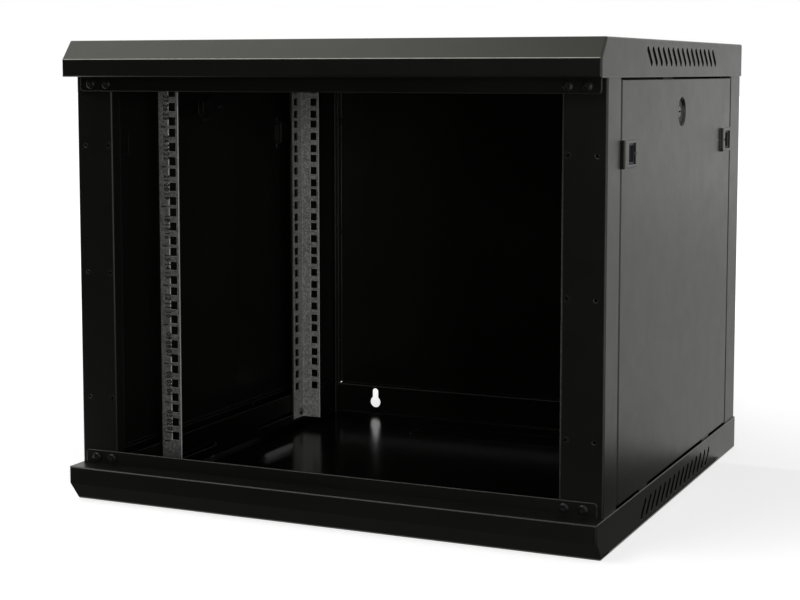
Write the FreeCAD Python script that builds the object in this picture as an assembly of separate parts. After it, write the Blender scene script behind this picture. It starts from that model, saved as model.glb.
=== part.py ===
import FreeCAD, Part
import os
from math import cos, pi, sin, sqrt, tan
from FreeCAD import Vector

# Wall mount network cabinet, 9 rack units, standing on its base.
# Millimetres, +Z up, the open front faces -Y, +X is the right-hand side seen from the front.
# The origin is on the ground under the middle of the whole cabinet.
# Pieces of the left side are modelled first and mirrored for the right; pieces of the lower
# end are modelled first and turned over for the upper.

# ---- driving sizes: covers and frame ----------------------------------------------------
width = 600.0              # over the side flanges of the two covers
height = 500.0             # over the top cover and the base tray
depth = 550.0              # from the wall to the upper fold of the front visor
lip_reach = 16.0           # how far the visor lip stands in front of that fold
lip_height = 18.5
body_setback = 9.0         # from the upper fold of the visor back to the front of the posts

cover_height = 38.5        # flanges of the top cover and of the base tray
cover_sheet = 1.5
cover_bend = 2.0           # outer radius of the cover folds
ledge_return = 12.0        # flange behind the visor ledge, in front of the posts
frame_sheet = 1.5
frame_bend = 0.5           # inner radius of the post and bracket folds
panel_sheet = 1.2
strip_sheet = 2.0
running_clearance = 0.3    # between a moving piece and what it runs on
post_clearance = 0.5       # between a bracket, strip or back panel and the post beside it

front_post_face = 44.0     # width of a front post seen from the front
front_post_side = 43.0
front_post_return = 16.0
rear_post_face = 51.5
rear_post_side = 47.5
rear_post_return = 16.0
panel_rebate = 10.0        # step in the posts that the side panels sink into
panel_landing = 12.0       # flange behind that step, which backs the panel edge

strip_height = 15.5
strip_end_gap = 5.5        # from the outer face of the posts to the end of a strip
strip_corner = 4.0
strip_flange = 12.0
strip_edge_round = 0.5
strip_screw_spacing = 19.5
strip_screw_length = 11.0

post_outer_column = 10.0   # hole columns, from the outer and inner edges of a front post
post_inner_column = 5.0
post_hole_pitch = 137.5
hinge_hole = 3.6
insert_flange = 3.4        # radii of the threaded inserts in the inner column
insert_body = 2.9
insert_bore = 1.7
insert_flange_rise = 0.6
insert_length = 9.0

# ---- driving sizes: rack rails and their brackets ---------------------------------------
rack_unit = 44.45
rack_opening = 450.0
rack_hole_centres = 465.1
rack_hole = 9.5
rack_hole_rises = (6.35, 22.225, 38.1)
rack_end_room = 40.0       # least height kept free above and below the rack units
rail_face = 26.0
front_rail_side = 18.0
rear_rail_side = 28.0
rail_sheet = 2.0
rail_end_gap = 14.0        # from the outside of a cover to the end of a rail
rail_side_hole_in = 9.55   # holes of the side leg, from its free edge
rail_bolt_from_end = 8.0
rail_bolt_from_corner = 9.0
front_rail_setback = 85.0  # from the front of the posts to the face of the front rails
rear_rail_setback = 109.0  # from the wall to the back of the rear rails
rail_out = 15.0            # travel of a rail towards the nearer posts
rail_meeting_gap = 81.0    # left between front and rear rails when both are fully inwards

bracket_sheet = 2.0
bracket_rise = 40.5
bracket_lip = 18.5         # rise of the upturned outer edge of the bracket leg
bracket_edge = 11.0        # from the frame bolt to the edge of the bracket leg
end_tab_edge = 15.0        # from the frame bolt to the inner edge of a post end tab
frame_bolt_in = 23.5       # frame bolts, from the outer faces of the body
front_bolt_back = 26.0
rear_bolt_forward = 23.5
dimple_rise = 4.0          # raised seats in the covers that hide the frame bolt heads
dimple_foot = 11.0
dimple_top = 8.5

# ---- driving sizes: openings in the covers ----------------------------------------------
vent_slots = 15
vent_pitch = 19.0
vent_slot_width = 6.5
vent_slot_rise = 20.0
vent_from_outside = 7.5    # from the outer plane of a cover to the slot ends
fan_spacing = 200.0
fan_forward = 40.0         # fan grilles, in front of the middle of the cabinet
fan_hole_square = 105.0
fan_hole = 4.4
grille_rings = 5
grille_first_radius = 12.0
grille_slot = 5.0
grille_land = 4.0
grille_spoke = 6.0

keyhole_spacing = 390.0
keyhole_radius = 7.5
keyhole_neck = 4.3
keyhole_rise = 14.3        # from the centre of the round hole to the centre of the neck end
keyhole_edge = 2.5         # least metal between a keyhole and the free edge of its flange

entry_length = 200.0       # cable openings in the covers
entry_width = 60.0
entry_from_wall = 45.0
entry_corner = 6.0
entry_kerf = 0.5
entry_tab = 4.0
entry_cover_lap = 12.0

# ---- driving sizes: side panels, latches and locks --------------------------------------
side_gap = 2.5             # shadow gaps round a side panel
end_gap = 2.0
panel_bend = 1.5
hook_width = 30.0          # hooks under the lower edge of a side panel
hook_spacing = 260.0
hook_drop = 8.7            # below the free edge of the base flange
hook_play = 0.4
lug_sheet = 1.5            # lugs in the base tray that carry the hooks
lug_reach = 7.5

latch_length = 46.0
latch_height = 28.0
latch_proud = 3.5
latch_corner = 4.0
latch_below_top = 113.0    # from the top of the cabinet to the middle of a latch
window_length = 25.0
window_height = 21.0
window_from_edge = 12.0
slit_height = 1.5
slider_clearance = 0.5
slider_travel = 7.5
tongue_height = 20.0
tongue_thickness = 5.0
tongue_round = 1.0
well_margin = 2.5          # rim round the finger well of a latch slide
well_depth = 5.0
well_round = 2.0
keeper_width = 28.0
keeper_foot = 6.0
keeper_bend = 0.3

lock_below_top = 76.0
lock_behind_middle = 0.5   # behind the middle of the side panel
dish_radius = 16.0
dish_draft = 1.5
dish_depth = 4.0
lock_barrel = 9.0          # radius over the thread
lock_barrel_length = 13.5
lock_flange_lap = 2.0
lock_flange_rise = 1.8
lock_flange_round = 0.6
lock_nut_wall = 3.0
lock_nut_height = 3.5
lock_plug = 6.0
keyway_length = 8.0
keyway_width = 1.6
keyway_depth = 8.0
cam_sheet = 2.0
cam_width = 16.0
cam_reach = 36.0
cam_corner = 3.0
cam_square = 7.0
cam_screw_length = 6.0
cam_washer_rise = 1.0
striker_length = 40.0
striker_leg = 9.0
striker_drop = 12.0
striker_shelf_gap = 0.5    # from the edge of the top cover flange up to the striker shelf

# ---- driving sizes: back panel, earth stud, fasteners -----------------------------------
back_panel_flange = 10.0
back_panel_lap = 1.5       # how far the back panel reaches behind the flange of the top cover
back_panel_foot_gap = 2.3  # from the flange of the base tray up to the back panel
back_screw_pitch = 150.0
back_screw_length = 8.0
back_corner_relief = 2.2

earth_stud_back = 36.0     # behind the front of the posts
earth_stud_length = 18.0
earth_stud_foot = 4.5
earth_stud_foot_rise = 1.0

m4 = 4.0
m5 = 5.0
m6 = 6.0
screw_fit = 0.1            # round a screw shank
thread_end = 1.0           # how far a bolt stands out of its nut
sheet_screw_end = 0.2      # how far a screw in sheet stays short of the outer face
past = 1.0                 # how far a cutting shape runs past the metal that it cuts
same = 1e-6                # two places nearer than this are the same

# ---- places worked out from the sizes ---------------------------------------------------
along_x = Vector(1, 0, 0)
along_y = Vector(0, 1, 0)
upwards = Vector(0, 0, 1)

overall_depth = depth + lip_reach
lip_y = -overall_depth / 2
fold_y = lip_y + lip_reach
body_y = fold_y + body_setback
wall_y = overall_depth / 2
side_x = width / 2
body_x = side_x - cover_sheet
inner_wall_y = wall_y - cover_sheet
floor_z = cover_sheet

front_post_inner_x = body_x - front_post_face
front_post_end_y = body_y + front_post_side
rear_post_front_y = inner_wall_y - rear_post_side
rear_post_inner_x = body_x - rear_post_face
rebate_x = body_x - panel_rebate
inner_column_x = front_post_inner_x + post_inner_column
outer_column_x = body_x - post_outer_column
strip_screw_columns = (inner_column_x, inner_column_x + strip_screw_spacing)
strip_z = cover_height + strip_height / 2

frame_bolt_x = body_x - frame_bolt_in
front_bolt_y = body_y + front_bolt_back
rear_bolt_y = inner_wall_y - rear_bolt_forward
tab_z = floor_z + dimple_rise              # underside of the post end tabs
bracket_z = tab_z + frame_sheet            # underside of the bracket legs

rail_x = rack_opening / 2 + rail_face
front_rail_y = body_y + front_rail_setback
rear_rail_y = wall_y - rear_rail_setback
rail_in = (rear_rail_y - front_rail_y - front_rail_side - rear_rail_side - rail_meeting_gap) / 2
rail_bolt_z = rail_end_gap + rail_bolt_from_end
front_rail_bolt_y = front_rail_y + rail_bolt_from_corner
rear_rail_bolt_y = rear_rail_y - rail_bolt_from_corner
rack_units = int((height - 2 * rack_end_room) / rack_unit)
rack_bottom = (height - rack_units * rack_unit) / 2

entry_y = (wall_y - entry_from_wall - entry_width, wall_y - entry_from_wall)
base_keyhole_z = cover_height - keyhole_edge - keyhole_neck - keyhole_rise
top_keyhole_z = height - cover_height + keyhole_edge + keyhole_radius
back_screw_y = inner_wall_y - back_panel_flange / 2 - panel_sheet / 2

panel_front_y = front_post_end_y + side_gap
panel_rear_y = rear_post_front_y - side_gap
panel_middle_y = (panel_front_y + panel_rear_y) / 2
panel_bottom_z = cover_height + end_gap
panel_top_z = height - cover_height - end_gap
back_panel_bottom_z = cover_height + back_panel_foot_gap
back_panel_top_z = height - cover_height + back_panel_lap
panel_depth = panel_rebate - running_clearance
panel_inner_x = body_x - panel_sheet
hook_bottom_z = cover_height - hook_drop

latch_z = height - latch_below_top
latch_outer_x = -body_x - latch_proud                    # face of the left latch covers
latch_inner_x = latch_outer_x + panel_sheet              # and their inside
window_y = (panel_front_y + window_from_edge, panel_front_y + window_from_edge + window_length)
tongue_x = -panel_inner_x + 2 * slider_clearance
slider_x = latch_inner_x + running_clearance
slider_back_x = tongue_x + tongue_thickness

lock_y = panel_middle_y + lock_behind_middle
lock_z = height - lock_below_top
dish_floor_x = -body_x + dish_depth
cam_x = dish_floor_x + lock_barrel_length + running_clearance


# ---- small shapes -----------------------------------------------------------------------


def box(x_range, y_range, z_range):
    """Block between two places on each axis."""
    low = Vector(min(x_range), min(y_range), min(z_range))
    high = Vector(max(x_range), max(y_range), max(z_range))
    size = high - low
    return Part.makeBox(size.x, size.y, size.z, low)


def rod(radius, length, start, direction):
    """Round bar from a start point along a direction."""
    return Part.makeCylinder(radius, length, start, direction)


def around(centre, half):
    """Range that reaches half to each side of a centre."""
    return (centre - half, centre + half)


def mirror_x(shape):
    """The same piece for the other side of the cabinet."""
    return shape.mirror(Vector(0, 0, 0), along_x)


def flip_z(shape):
    """The same piece for the other end of the cabinet, top for bottom."""
    return shape.mirror(Vector(0, 0, height / 2), upwards)


def mirror_panel(shape):
    """The same piece for the other upright edge of a side panel."""
    return shape.mirror(Vector(0, panel_middle_y, 0), along_y)


def soften(shape, radius, wanted):
    """Round the edges that wanted() picks."""
    return shape.makeFillet(radius, [edge for edge in shape.Edges if wanted(edge)])


def middle(edge):
    return edge.CenterOfMass


def near(place, wanted):
    """True where two places are the same but for rounding."""
    return abs(place - wanted) < same


def is_round(edge):
    return edge.Curve.TypeId == "Part::GeomCircle"


def runs_across(edge):
    """True for a straight edge parallel to X."""
    if edge.Curve.TypeId != "Part::GeomLine":
        return False
    return near(abs(edge.tangentAt(edge.FirstParameter).x), 1)


def mitred(points, distance, axis, closed=False):
    """Points of a path moved to its right, seen with the axis pointing at the eye."""
    moved = []
    last = len(points) - 1
    for index, point in enumerate(points):
        sides = []
        if index > 0 or closed:
            sides.append((point - points[index - 1]).normalize().cross(axis))
        if index < last or closed:
            sides.append((points[(index + 1) % len(points)] - point).normalize().cross(axis))
        spread = 1 + sides[0].dot(sides[-1])
        moved.append(point + (sides[0] + sides[-1]) * (distance / spread))
    return moved


def rounded_face(corners):
    """Flat face from (point, radius) corners; a radius of 0 leaves a corner sharp."""
    stretches = []
    for index, (point, radius) in enumerate(corners):
        if radius == 0:
            stretches.append((point, None, point))
            continue
        before = (corners[index - 1][0] - point).normalize()
        after = (corners[(index + 1) % len(corners)][0] - point).normalize()
        half_angle = before.getAngle(after) / 2
        run = radius / tan(half_angle)
        crown = point + (before + after).normalize() * (radius / sin(half_angle) - radius)
        stretches.append((point + before * run, crown, point + after * run))
    edges = []
    for index, (start, crown, end) in enumerate(stretches):
        following = stretches[(index + 1) % len(stretches)][0]
        if crown is not None:
            edges.append(Part.Arc(start, crown, end).toShape())
        edges.append(Part.LineSegment(end, following).toShape())
    return Part.Face(Part.Wire(edges))


def sharp_face(points):
    """Flat face with sharp corners."""
    return rounded_face([(point, 0) for point in points])


def folded_sheet(path, sheet, inner_radius, run):
    """Bent sheet drawn out along run: one face follows the path, the metal is to its right."""
    axis = Vector(run).normalize()
    other = mitred(path, sheet, axis)
    near = [(path[0], 0)]
    far = [(other[0], 0)]
    for index in range(1, len(path) - 1):
        arriving = path[index] - path[index - 1]
        leaving = path[index + 1] - path[index]
        turns_right = arriving.cross(leaving).dot(axis) < 0
        outer_radius = inner_radius + sheet
        near.append((path[index], outer_radius if turns_right else inner_radius))
        far.append((other[index], inner_radius if turns_right else outer_radius))
    near.append((path[-1], 0))
    far.append((other[-1], 0))
    return rounded_face(near + far[::-1]).extrude(run)


def level_plate(x_range, y_range, z_range, corner):
    """Flat plate lying level, with its four upright corners rounded."""
    low_z, high_z = z_range
    corners = [Vector(x_range[0], y_range[0], low_z), Vector(x_range[1], y_range[0], low_z),
               Vector(x_range[1], y_range[1], low_z), Vector(x_range[0], y_range[1], low_z)]
    return rounded_face([(point, corner) for point in corners]).extrude(upwards * (high_z - low_z))


def aim(shape, point, direction):
    """Place a shape made along +Z so that it starts at a point and looks along a direction."""
    placed = shape.copy()
    placed.Placement = FreeCAD.Placement(point, FreeCAD.Rotation(upwards, direction))
    return placed


def set_of(shape, points, direction):
    """Separate copies of one piece in one node."""
    return Part.makeCompound([aim(shape, point, direction) for point in points])


# ---- fasteners, made standing on z = 0 with the head up ---------------------------------


def pan_head_screw(size, length):
    """Cross-recess pan head screw: head above z = 0, shank below."""
    head_rise = 0.62 * size
    head = Part.makeCylinder(size, head_rise)
    head = soften(head, 0.45 * size, lambda edge: is_round(edge) and middle(edge).z > head_rise / 2)
    arm = 0.55 * size
    groove = 0.13 * size
    deep = (head_rise - 0.4 * size, head_rise + past)
    cross = box((-arm, arm), (-groove, groove), deep).fuse(box((-groove, groove), (-arm, arm), deep))
    shank = rod(size / 2, length, Vector(0, 0, 0), -upwards)
    return head.cut(cross).fuse(shank).removeSplitter()


def hex_nut(size, flats, rise):
    """Plain hexagon nut on z = 0 with its upper corners turned off."""
    reach = flats / sqrt(3)
    points = [Vector(reach * cos(step * pi / 3), reach * sin(step * pi / 3), 0) for step in range(6)]
    body = sharp_face(points).extrude(upwards * rise)
    turned = Part.makeCone(flats / 2 + 2 * rise, 0.96 * flats / 2, rise)
    bore = rod(size / 2 + screw_fit, rise + 2 * past, Vector(0, 0, -past), upwards)
    return body.common(turned).cut(bore)


def washer(size, rise):
    """Plain washer on z = 0, twice the screw size wide."""
    hole = rod(size / 2 + screw_fit, rise + 2 * past, Vector(0, 0, -past), upwards)
    return Part.makeCylinder(size, rise).cut(hole)


def nut_for(size):
    """Nut with flats 1.6 and height 0.8 times the screw size."""
    return hex_nut(size, 1.6 * size + 0.4, nut_rise(size))


def nut_rise(size):
    return 0.8 * size


def washer_rise(size):
    return 0.26 * size


def screw_hole(size, start, direction, through):
    """Clearance hole for a screw, as a tool: it starts one overshoot before the metal."""
    return rod(size / 2 + screw_fit, through + 2 * past, start - direction * past, direction)


# ---- top cover and base tray ------------------------------------------------------------


def frame_bolt_points(z):
    return [Vector(x, y, z) for x in (-frame_bolt_x, frame_bolt_x) for y in (front_bolt_y, rear_bolt_y)]


def cover_shell():
    """Pressed tray with a bevelled front visor, open side up, as it lies under the cabinet."""
    outline = [Vector(-side_x, fold_y, 0), Vector(-side_x, wall_y, 0),
               Vector(-side_x, wall_y, cover_height), Vector(-side_x, lip_y, cover_height),
               Vector(-side_x, lip_y, cover_height - lip_height)]
    outer = sharp_face(outline).extrude(along_x * width)

    def folded(edge):
        on_rim = all(near(vertex.Z, cover_height) for vertex in edge.Vertexes)
        return not on_rim or near(middle(edge).y, lip_y)

    outer = soften(outer, cover_bend, folded)
    inset = [point + along_x * cover_sheet for point in mitred(outline, -cover_sheet, along_x, closed=True)]
    hollow = sharp_face(inset).extrude(along_x * 2 * body_x)
    mouth = box(around(0, body_x), (body_y, inner_wall_y), (floor_z, cover_height + past))
    ledge_flange = box(around(0, body_x), (body_y - cover_sheet, body_y),
                       (cover_height - ledge_return, cover_height))
    return outer.cut(hollow).cut(mouth).fuse(ledge_flange).removeSplitter()


def side_vents():
    """Row of slanted slots with round ends through both side flanges, as tools."""
    radius = vent_slot_width / 2
    half_run = (vent_slot_rise - vent_slot_width) / 2
    centre_z = vent_from_outside + vent_slot_rise / 2
    start_x = -side_x - past
    across = along_x * (width + 2 * past)
    sideways = Vector(0, 1, -1).normalize() * radius
    slots = []
    for index in range(vent_slots):
        centre_y = panel_middle_y + (index - (vent_slots - 1) / 2) * vent_pitch
        low = Vector(start_x, centre_y - half_run, centre_z - half_run)
        high = Vector(start_x, centre_y + half_run, centre_z + half_run)
        bar = sharp_face([low - sideways, high - sideways, high + sideways, low + sideways])
        slots.append(bar.extrude(across))
        slots += [rod(radius, across.Length, end, along_x) for end in (low, high)]
    return slots


def with_bolt_dimples(shell):
    """Raised seats for the frame bolts, so that no head stands out of the cover."""
    for point in frame_bolt_points(0):
        seat = Part.makeCone(dimple_foot, dimple_top, tab_z, point)
        pocket = Part.makeCone(dimple_foot - cover_sheet, dimple_top - cover_sheet, dimple_rise, point)
        shell = shell.fuse(seat).cut(pocket).cut(screw_hole(m6, point, upwards, tab_z))
    return shell


def keyholes(centre_z):
    """Pair of wall keyholes in a rear flange, necks upwards, as tools."""
    through = cover_sheet + 2 * past
    tools = []
    for x in (-keyhole_spacing / 2, keyhole_spacing / 2):
        start = Vector(x, inner_wall_y - past, centre_z)
        tools.append(rod(keyhole_radius, through, start, along_y))
        tools.append(rod(keyhole_neck, through, start + upwards * keyhole_rise, along_y))
        y_range = (start.y, start.y + through)
        tools.append(box(around(x, keyhole_neck), y_range, (centre_z, centre_z + keyhole_rise)))
    return tools


def entry_opening(z_range):
    """Cable opening near the wall, as a tool."""
    return level_plate(around(0, entry_length / 2), entry_y, z_range, entry_corner)


def fan_grille(centre):
    """Rings of arc slots and four screw holes for one fan, as tools that cut the top cover."""
    low = centre - upwards * (cover_sheet + past)
    deep = cover_sheet + 2 * past
    outermost = grille_first_radius + grille_rings * (grille_slot + grille_land)
    spokes = []
    for angle in (45, 135):
        spoke = box(around(0, outermost), around(0, grille_spoke / 2), (0, deep))
        spoke.rotate(Vector(0, 0, 0), upwards, angle)
        spoke.translate(low)
        spokes.append(spoke)
    tools = []
    for ring in range(grille_rings):
        inner = grille_first_radius + ring * (grille_slot + grille_land)
        slot = rod(inner + grille_slot, deep, low, upwards).cut(rod(inner, deep, low, upwards))
        tools.append(slot.cut(spokes))
    for x in around(0, fan_hole_square / 2):
        for y in around(0, fan_hole_square / 2):
            tools.append(rod(fan_hole / 2, deep, low + Vector(x, y, 0), upwards))
    return tools


def hook_rows():
    """Where along a side panel its hooks are, as Y ranges."""
    return [around(panel_middle_y + side * hook_spacing / 2, hook_width / 2) for side in (-1, 1)]


def hook_lugs():
    """Lanced lugs inside the side flanges of the base, under the side panel hooks."""
    top = hook_bottom_z - running_clearance
    lugs = [box((-body_x, -body_x + lug_reach), row, (top - lug_sheet, top)) for row in hook_rows()]
    return lugs + [mirror_x(lug) for lug in lugs]


def base_tray():
    shell = with_bolt_dimples(cover_shell().cut(side_vents()))
    shell = shell.cut(keyholes(base_keyhole_z)).cut(entry_opening((-past, floor_z + past)))
    return shell.fuse(hook_lugs()).removeSplitter()


def top_cover():
    shell = flip_z(with_bolt_dimples(cover_shell().cut(side_vents())))
    tools = keyholes(top_keyhole_z)
    tools.append(entry_opening((height - cover_sheet - past, height + past)))
    for x in around(0, fan_spacing / 2):
        tools += fan_grille(Vector(x, -fan_forward, height))
    for point in entry_screw_points(height):
        tools.append(screw_hole(m4, point, -upwards, cover_sheet))
    return shell.cut(tools)


def entry_screw_points(z):
    rows = (entry_y[0] - entry_cover_lap / 2, entry_y[1] + entry_cover_lap / 2)
    return [Vector(x, y, z) for x in around(0, entry_length / 2 - 2 * entry_corner) for y in rows]


def top_cable_cover():
    """Plate screwed up against the top cover, over its cable opening."""
    top = height - cover_sheet
    rows = (entry_y[0] - entry_cover_lap, entry_y[1] + entry_cover_lap)
    x_range = around(0, entry_length / 2 + entry_cover_lap)
    plate = level_plate(x_range, rows, (top - cover_sheet, top), entry_corner)
    return plate.cut([screw_hole(m4, point, -upwards, cover_sheet) for point in entry_screw_points(top)])


def top_cable_cover_screws():
    screw = pan_head_screw(m4, 2 * cover_sheet - sheet_screw_end)
    return set_of(screw, entry_screw_points(height - 2 * cover_sheet), -upwards)


def base_cable_knockout():
    """Plate left in the cable opening of the base on small break-off tabs."""
    rows = (entry_y[0] + entry_kerf, entry_y[1] - entry_kerf)
    plate = level_plate(around(0, entry_length / 2 - entry_kerf), rows, (0, floor_z), entry_corner)
    tabs = [box(around(x, entry_tab / 2), entry_y, (0, floor_z)) for x in around(0, entry_length / 4)]
    return plate.fuse(tabs).removeSplitter()


# ---- posts ------------------------------------------------------------------------------


def upright(plan):
    """Folded post between the floor and the roof, from its plan outline."""
    path = [Vector(x, y, floor_z) for x, y in plan]
    return folded_sheet(path, frame_sheet, frame_bend, upwards * (height - 2 * floor_z))


def end_tabs(y_range, bolt_y):
    """Level tabs that the frame bolts hold to the base and to the roof."""
    x_range = (-body_x + frame_sheet, -frame_bolt_x + end_tab_edge)
    tab = box(x_range, y_range, (tab_z, bracket_z))
    tab = tab.cut(screw_hole(m6, Vector(-frame_bolt_x, bolt_y, tab_z), upwards, frame_sheet))
    return [tab, flip_z(tab)]


def tongue_slot(y_range):
    """Slot for a latch tongue, as a tool."""
    x_range = (tongue_x - slider_clearance, slider_back_x + slider_clearance)
    return box(x_range, y_range, around(latch_z, tongue_height / 2 + slider_clearance))


def post_hole_heights():
    return [height / 2 + step * post_hole_pitch for step in (-1, 0, 1)]


def front_left_post():
    post = upright([(-front_post_inner_x, body_y + front_post_return), (-front_post_inner_x, body_y),
                    (-body_x, body_y), (-body_x, front_post_end_y), (-rebate_x, front_post_end_y),
                    (-rebate_x, front_post_end_y + panel_landing)])
    post = post.fuse(end_tabs((body_y + frame_sheet, front_post_end_y - frame_sheet), front_bolt_y))
    tools = [tongue_slot((front_post_end_y - frame_sheet - past, front_post_end_y + past))]
    for column in strip_screw_columns:
        for z in (strip_z, height - strip_z):
            tools.append(screw_hole(m5, Vector(-column, body_y, z), along_y, frame_sheet))
    hinge_pin = hinge_hole - 2 * screw_fit
    for z in post_hole_heights():
        tools.append(screw_hole(hinge_pin, Vector(-outer_column_x, body_y, z), along_y, frame_sheet))
        tools.append(screw_hole(2 * insert_body, Vector(-inner_column_x, body_y, z), along_y, frame_sheet))
    return post.cut(tools)


def rear_left_post():
    post = upright([(-rebate_x, rear_post_front_y - panel_landing), (-rebate_x, rear_post_front_y),
                    (-body_x, rear_post_front_y), (-body_x, inner_wall_y),
                    (-rear_post_inner_x, inner_wall_y),
                    (-rear_post_inner_x, inner_wall_y - rear_post_return)])
    post = post.fuse(end_tabs((rear_post_front_y + frame_sheet, inner_wall_y - frame_sheet), rear_bolt_y))
    tools = [tongue_slot((rear_post_front_y - past, rear_post_front_y + frame_sheet + past))]
    for z in back_screw_heights():
        tools.append(screw_hole(m4, Vector(-rear_post_inner_x, back_screw_y, z), -along_x, frame_sheet))
    return post.cut(tools)


def front_left_inserts():
    """Threaded inserts for the door fittings, pressed into the inner column of holes."""
    inserts = []
    for z in post_hole_heights():
        face = Vector(-inner_column_x, body_y, z)
        flange = rod(insert_flange, insert_flange_rise, face, -along_y)
        body = rod(insert_body, insert_length, face, along_y)
        bore = rod(insert_bore, insert_length + 2 * past, face - along_y * past, along_y)
        inserts.append(flange.fuse(body).cut(bore).removeSplitter())
    return Part.makeCompound(inserts)


# ---- strips across the top and bottom of the front opening -------------------------------


def strip_screw_points(z):
    front = body_y - strip_sheet
    return [Vector(side * column, front, z) for side in (-1, 1) for column in strip_screw_columns]


def front_bottom_strip():
    """Angle strip screwed over both posts, its flange reaching back between them."""
    end_x = body_x - strip_end_gap
    top = cover_height + strip_height
    front = body_y - strip_sheet
    outline = [(Vector(-end_x, front, cover_height), 0), (Vector(end_x, front, cover_height), 0),
               (Vector(end_x, front, top), strip_corner), (Vector(-end_x, front, top), strip_corner)]
    strip = rounded_face(outline).extrude(along_y * strip_sheet)
    strip = soften(strip, strip_edge_round, lambda edge: near(middle(edge).y, front))
    flange = box(around(0, front_post_inner_x - post_clearance), (body_y, body_y + strip_flange),
                 (cover_height, cover_height + strip_sheet))
    holes = [screw_hole(m5, point, along_y, strip_sheet) for point in strip_screw_points(strip_z)]
    return strip.cut(holes).fuse(flange).removeSplitter()


def strip_screws(z):
    return set_of(pan_head_screw(m5, strip_screw_length), strip_screw_points(z), -along_y)


# ---- back panel -------------------------------------------------------------------------


def back_screw_heights():
    return [height / 2 + step * back_screw_pitch for step in (-1, 0, 1)]


def back_panel():
    """Shallow tray, its flanges turned forwards, flush with the rear posts.

    Its top laps the flange of the top cover, so that no light comes through there.
    """
    half = rear_post_inner_x - post_clearance
    front = inner_wall_y - back_panel_flange
    outer = box(around(0, half), (front, inner_wall_y), (back_panel_bottom_z, back_panel_top_z))
    outer = soften(outer, panel_bend, lambda edge: near(middle(edge).y, inner_wall_y))
    tools = [box(around(0, half - panel_sheet), (front - past, inner_wall_y - panel_sheet),
                 (back_panel_bottom_z + panel_sheet, back_panel_top_z - panel_sheet))]
    for x in around(0, half):
        for z in (back_panel_bottom_z, back_panel_top_z):
            start = Vector(x, front - past, z)
            tools.append(rod(back_corner_relief, back_panel_flange + 2 * past, start, along_y))
    for z in back_screw_heights():
        tools.append(screw_hole(m4, Vector(-half, back_screw_y, z), along_x, 2 * half))
    return outer.cut(tools)


def back_panel_screws():
    """Screws through the side flanges of the back panel into the rear posts."""
    inner = rear_post_inner_x - post_clearance - panel_sheet
    screw = pan_head_screw(m4, back_screw_length)
    left = set_of(screw, [Vector(-inner, back_screw_y, z) for z in back_screw_heights()], along_x)
    return Part.makeCompound(left.Solids + mirror_x(left).Solids)


# ---- brackets that carry the rails, and the frame bolts ----------------------------------


def rail_slot(bolt_y, forward, back):
    """Slot in the bracket web for the whole travel of one rail bolt, as a tool."""
    radius = m5 / 2 + running_clearance
    x_range = (-rail_x - running_clearance - bracket_sheet - past, -rail_x)
    y_range = (bolt_y - forward, bolt_y + back)
    slot = box(x_range, y_range, around(rail_bolt_z, radius))
    through = x_range[1] - x_range[0]
    return slot.fuse([rod(radius, through, Vector(x_range[0], y, rail_bolt_z), along_x) for y in y_range])


def lower_left_bracket():
    """Channel from front post to rear post; its tall web takes the foot of both rails.

    A wide cabinet's leg is notched round the return flange of the rear post.
    """
    web_x = -rail_x - running_clearance
    start = body_y + front_post_return + post_clearance
    length = inner_wall_y - frame_sheet - post_clearance - start
    lip_x = -frame_bolt_x - bracket_edge
    path = [Vector(lip_x, start, bracket_z + bracket_lip), Vector(lip_x, start, bracket_z),
            Vector(web_x, start, bracket_z), Vector(web_x, start, bracket_z + bracket_rise)]
    bracket = folded_sheet(path, bracket_sheet, frame_bend, along_y * length)
    tools = [rail_slot(front_rail_bolt_y, rail_out, rail_in),
             rail_slot(rear_rail_bolt_y, rail_in, rail_out)]
    for y in (front_bolt_y, rear_bolt_y):
        tools.append(screw_hole(m6, Vector(-frame_bolt_x, y, bracket_z), upwards, bracket_sheet))
    post_flange_x = (-rear_post_inner_x - frame_sheet - post_clearance, -rear_post_inner_x + post_clearance)
    post_flange_y = (inner_wall_y - rear_post_return - post_clearance, inner_wall_y)
    tools.append(box(post_flange_x, post_flange_y, (bracket_z - past, bracket_z + bracket_rise + past)))
    return bracket.cut(tools)


def base_frame_bolts():
    """Bolts with their heads in the dimples, one through each post foot and bracket end."""
    stack = cover_sheet + frame_sheet + bracket_sheet + nut_rise(m6) + thread_end
    return set_of(pan_head_screw(m6, stack), frame_bolt_points(dimple_rise), -upwards)


def base_frame_nuts():
    return set_of(nut_for(m6), frame_bolt_points(bracket_z + bracket_sheet), upwards)


# ---- rack rails -------------------------------------------------------------------------


def rail_hole_heights():
    return [rack_bottom + unit * rack_unit + rise for unit in range(rack_units) for rise in rack_hole_rises]


def left_rail(face_y, inward):
    """Angle rail with square holes in both legs; inward is +1 if its side leg runs to +Y."""
    rail_side = front_rail_side if inward > 0 else rear_rail_side
    plan = [Vector(-rack_opening / 2, face_y, rail_end_gap), Vector(-rail_x, face_y, rail_end_gap),
            Vector(-rail_x, face_y + inward * rail_side, rail_end_gap)]
    if inward < 0:
        plan.reverse()
    rail = folded_sheet(plan, rail_sheet, frame_bend, upwards * (height - 2 * rail_end_gap))
    half = rack_hole / 2
    face_hole_x = -rack_hole_centres / 2
    side_hole_y = face_y + inward * (rail_side - rail_side_hole_in)
    tools = []
    for z in rail_hole_heights():
        tools.append(box(around(face_hole_x, half), around(face_y, rail_sheet + past), around(z, half)))
        tools.append(box(around(-rail_x, rail_sheet + past), around(side_hole_y, half), around(z, half)))
    bolt_y = face_y + inward * rail_bolt_from_corner
    for z in (rail_bolt_z, height - rail_bolt_z):
        tools.append(screw_hole(m5, Vector(-rail_x, bolt_y, z), along_x, rail_sheet))
    return rail.cut(tools)


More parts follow.
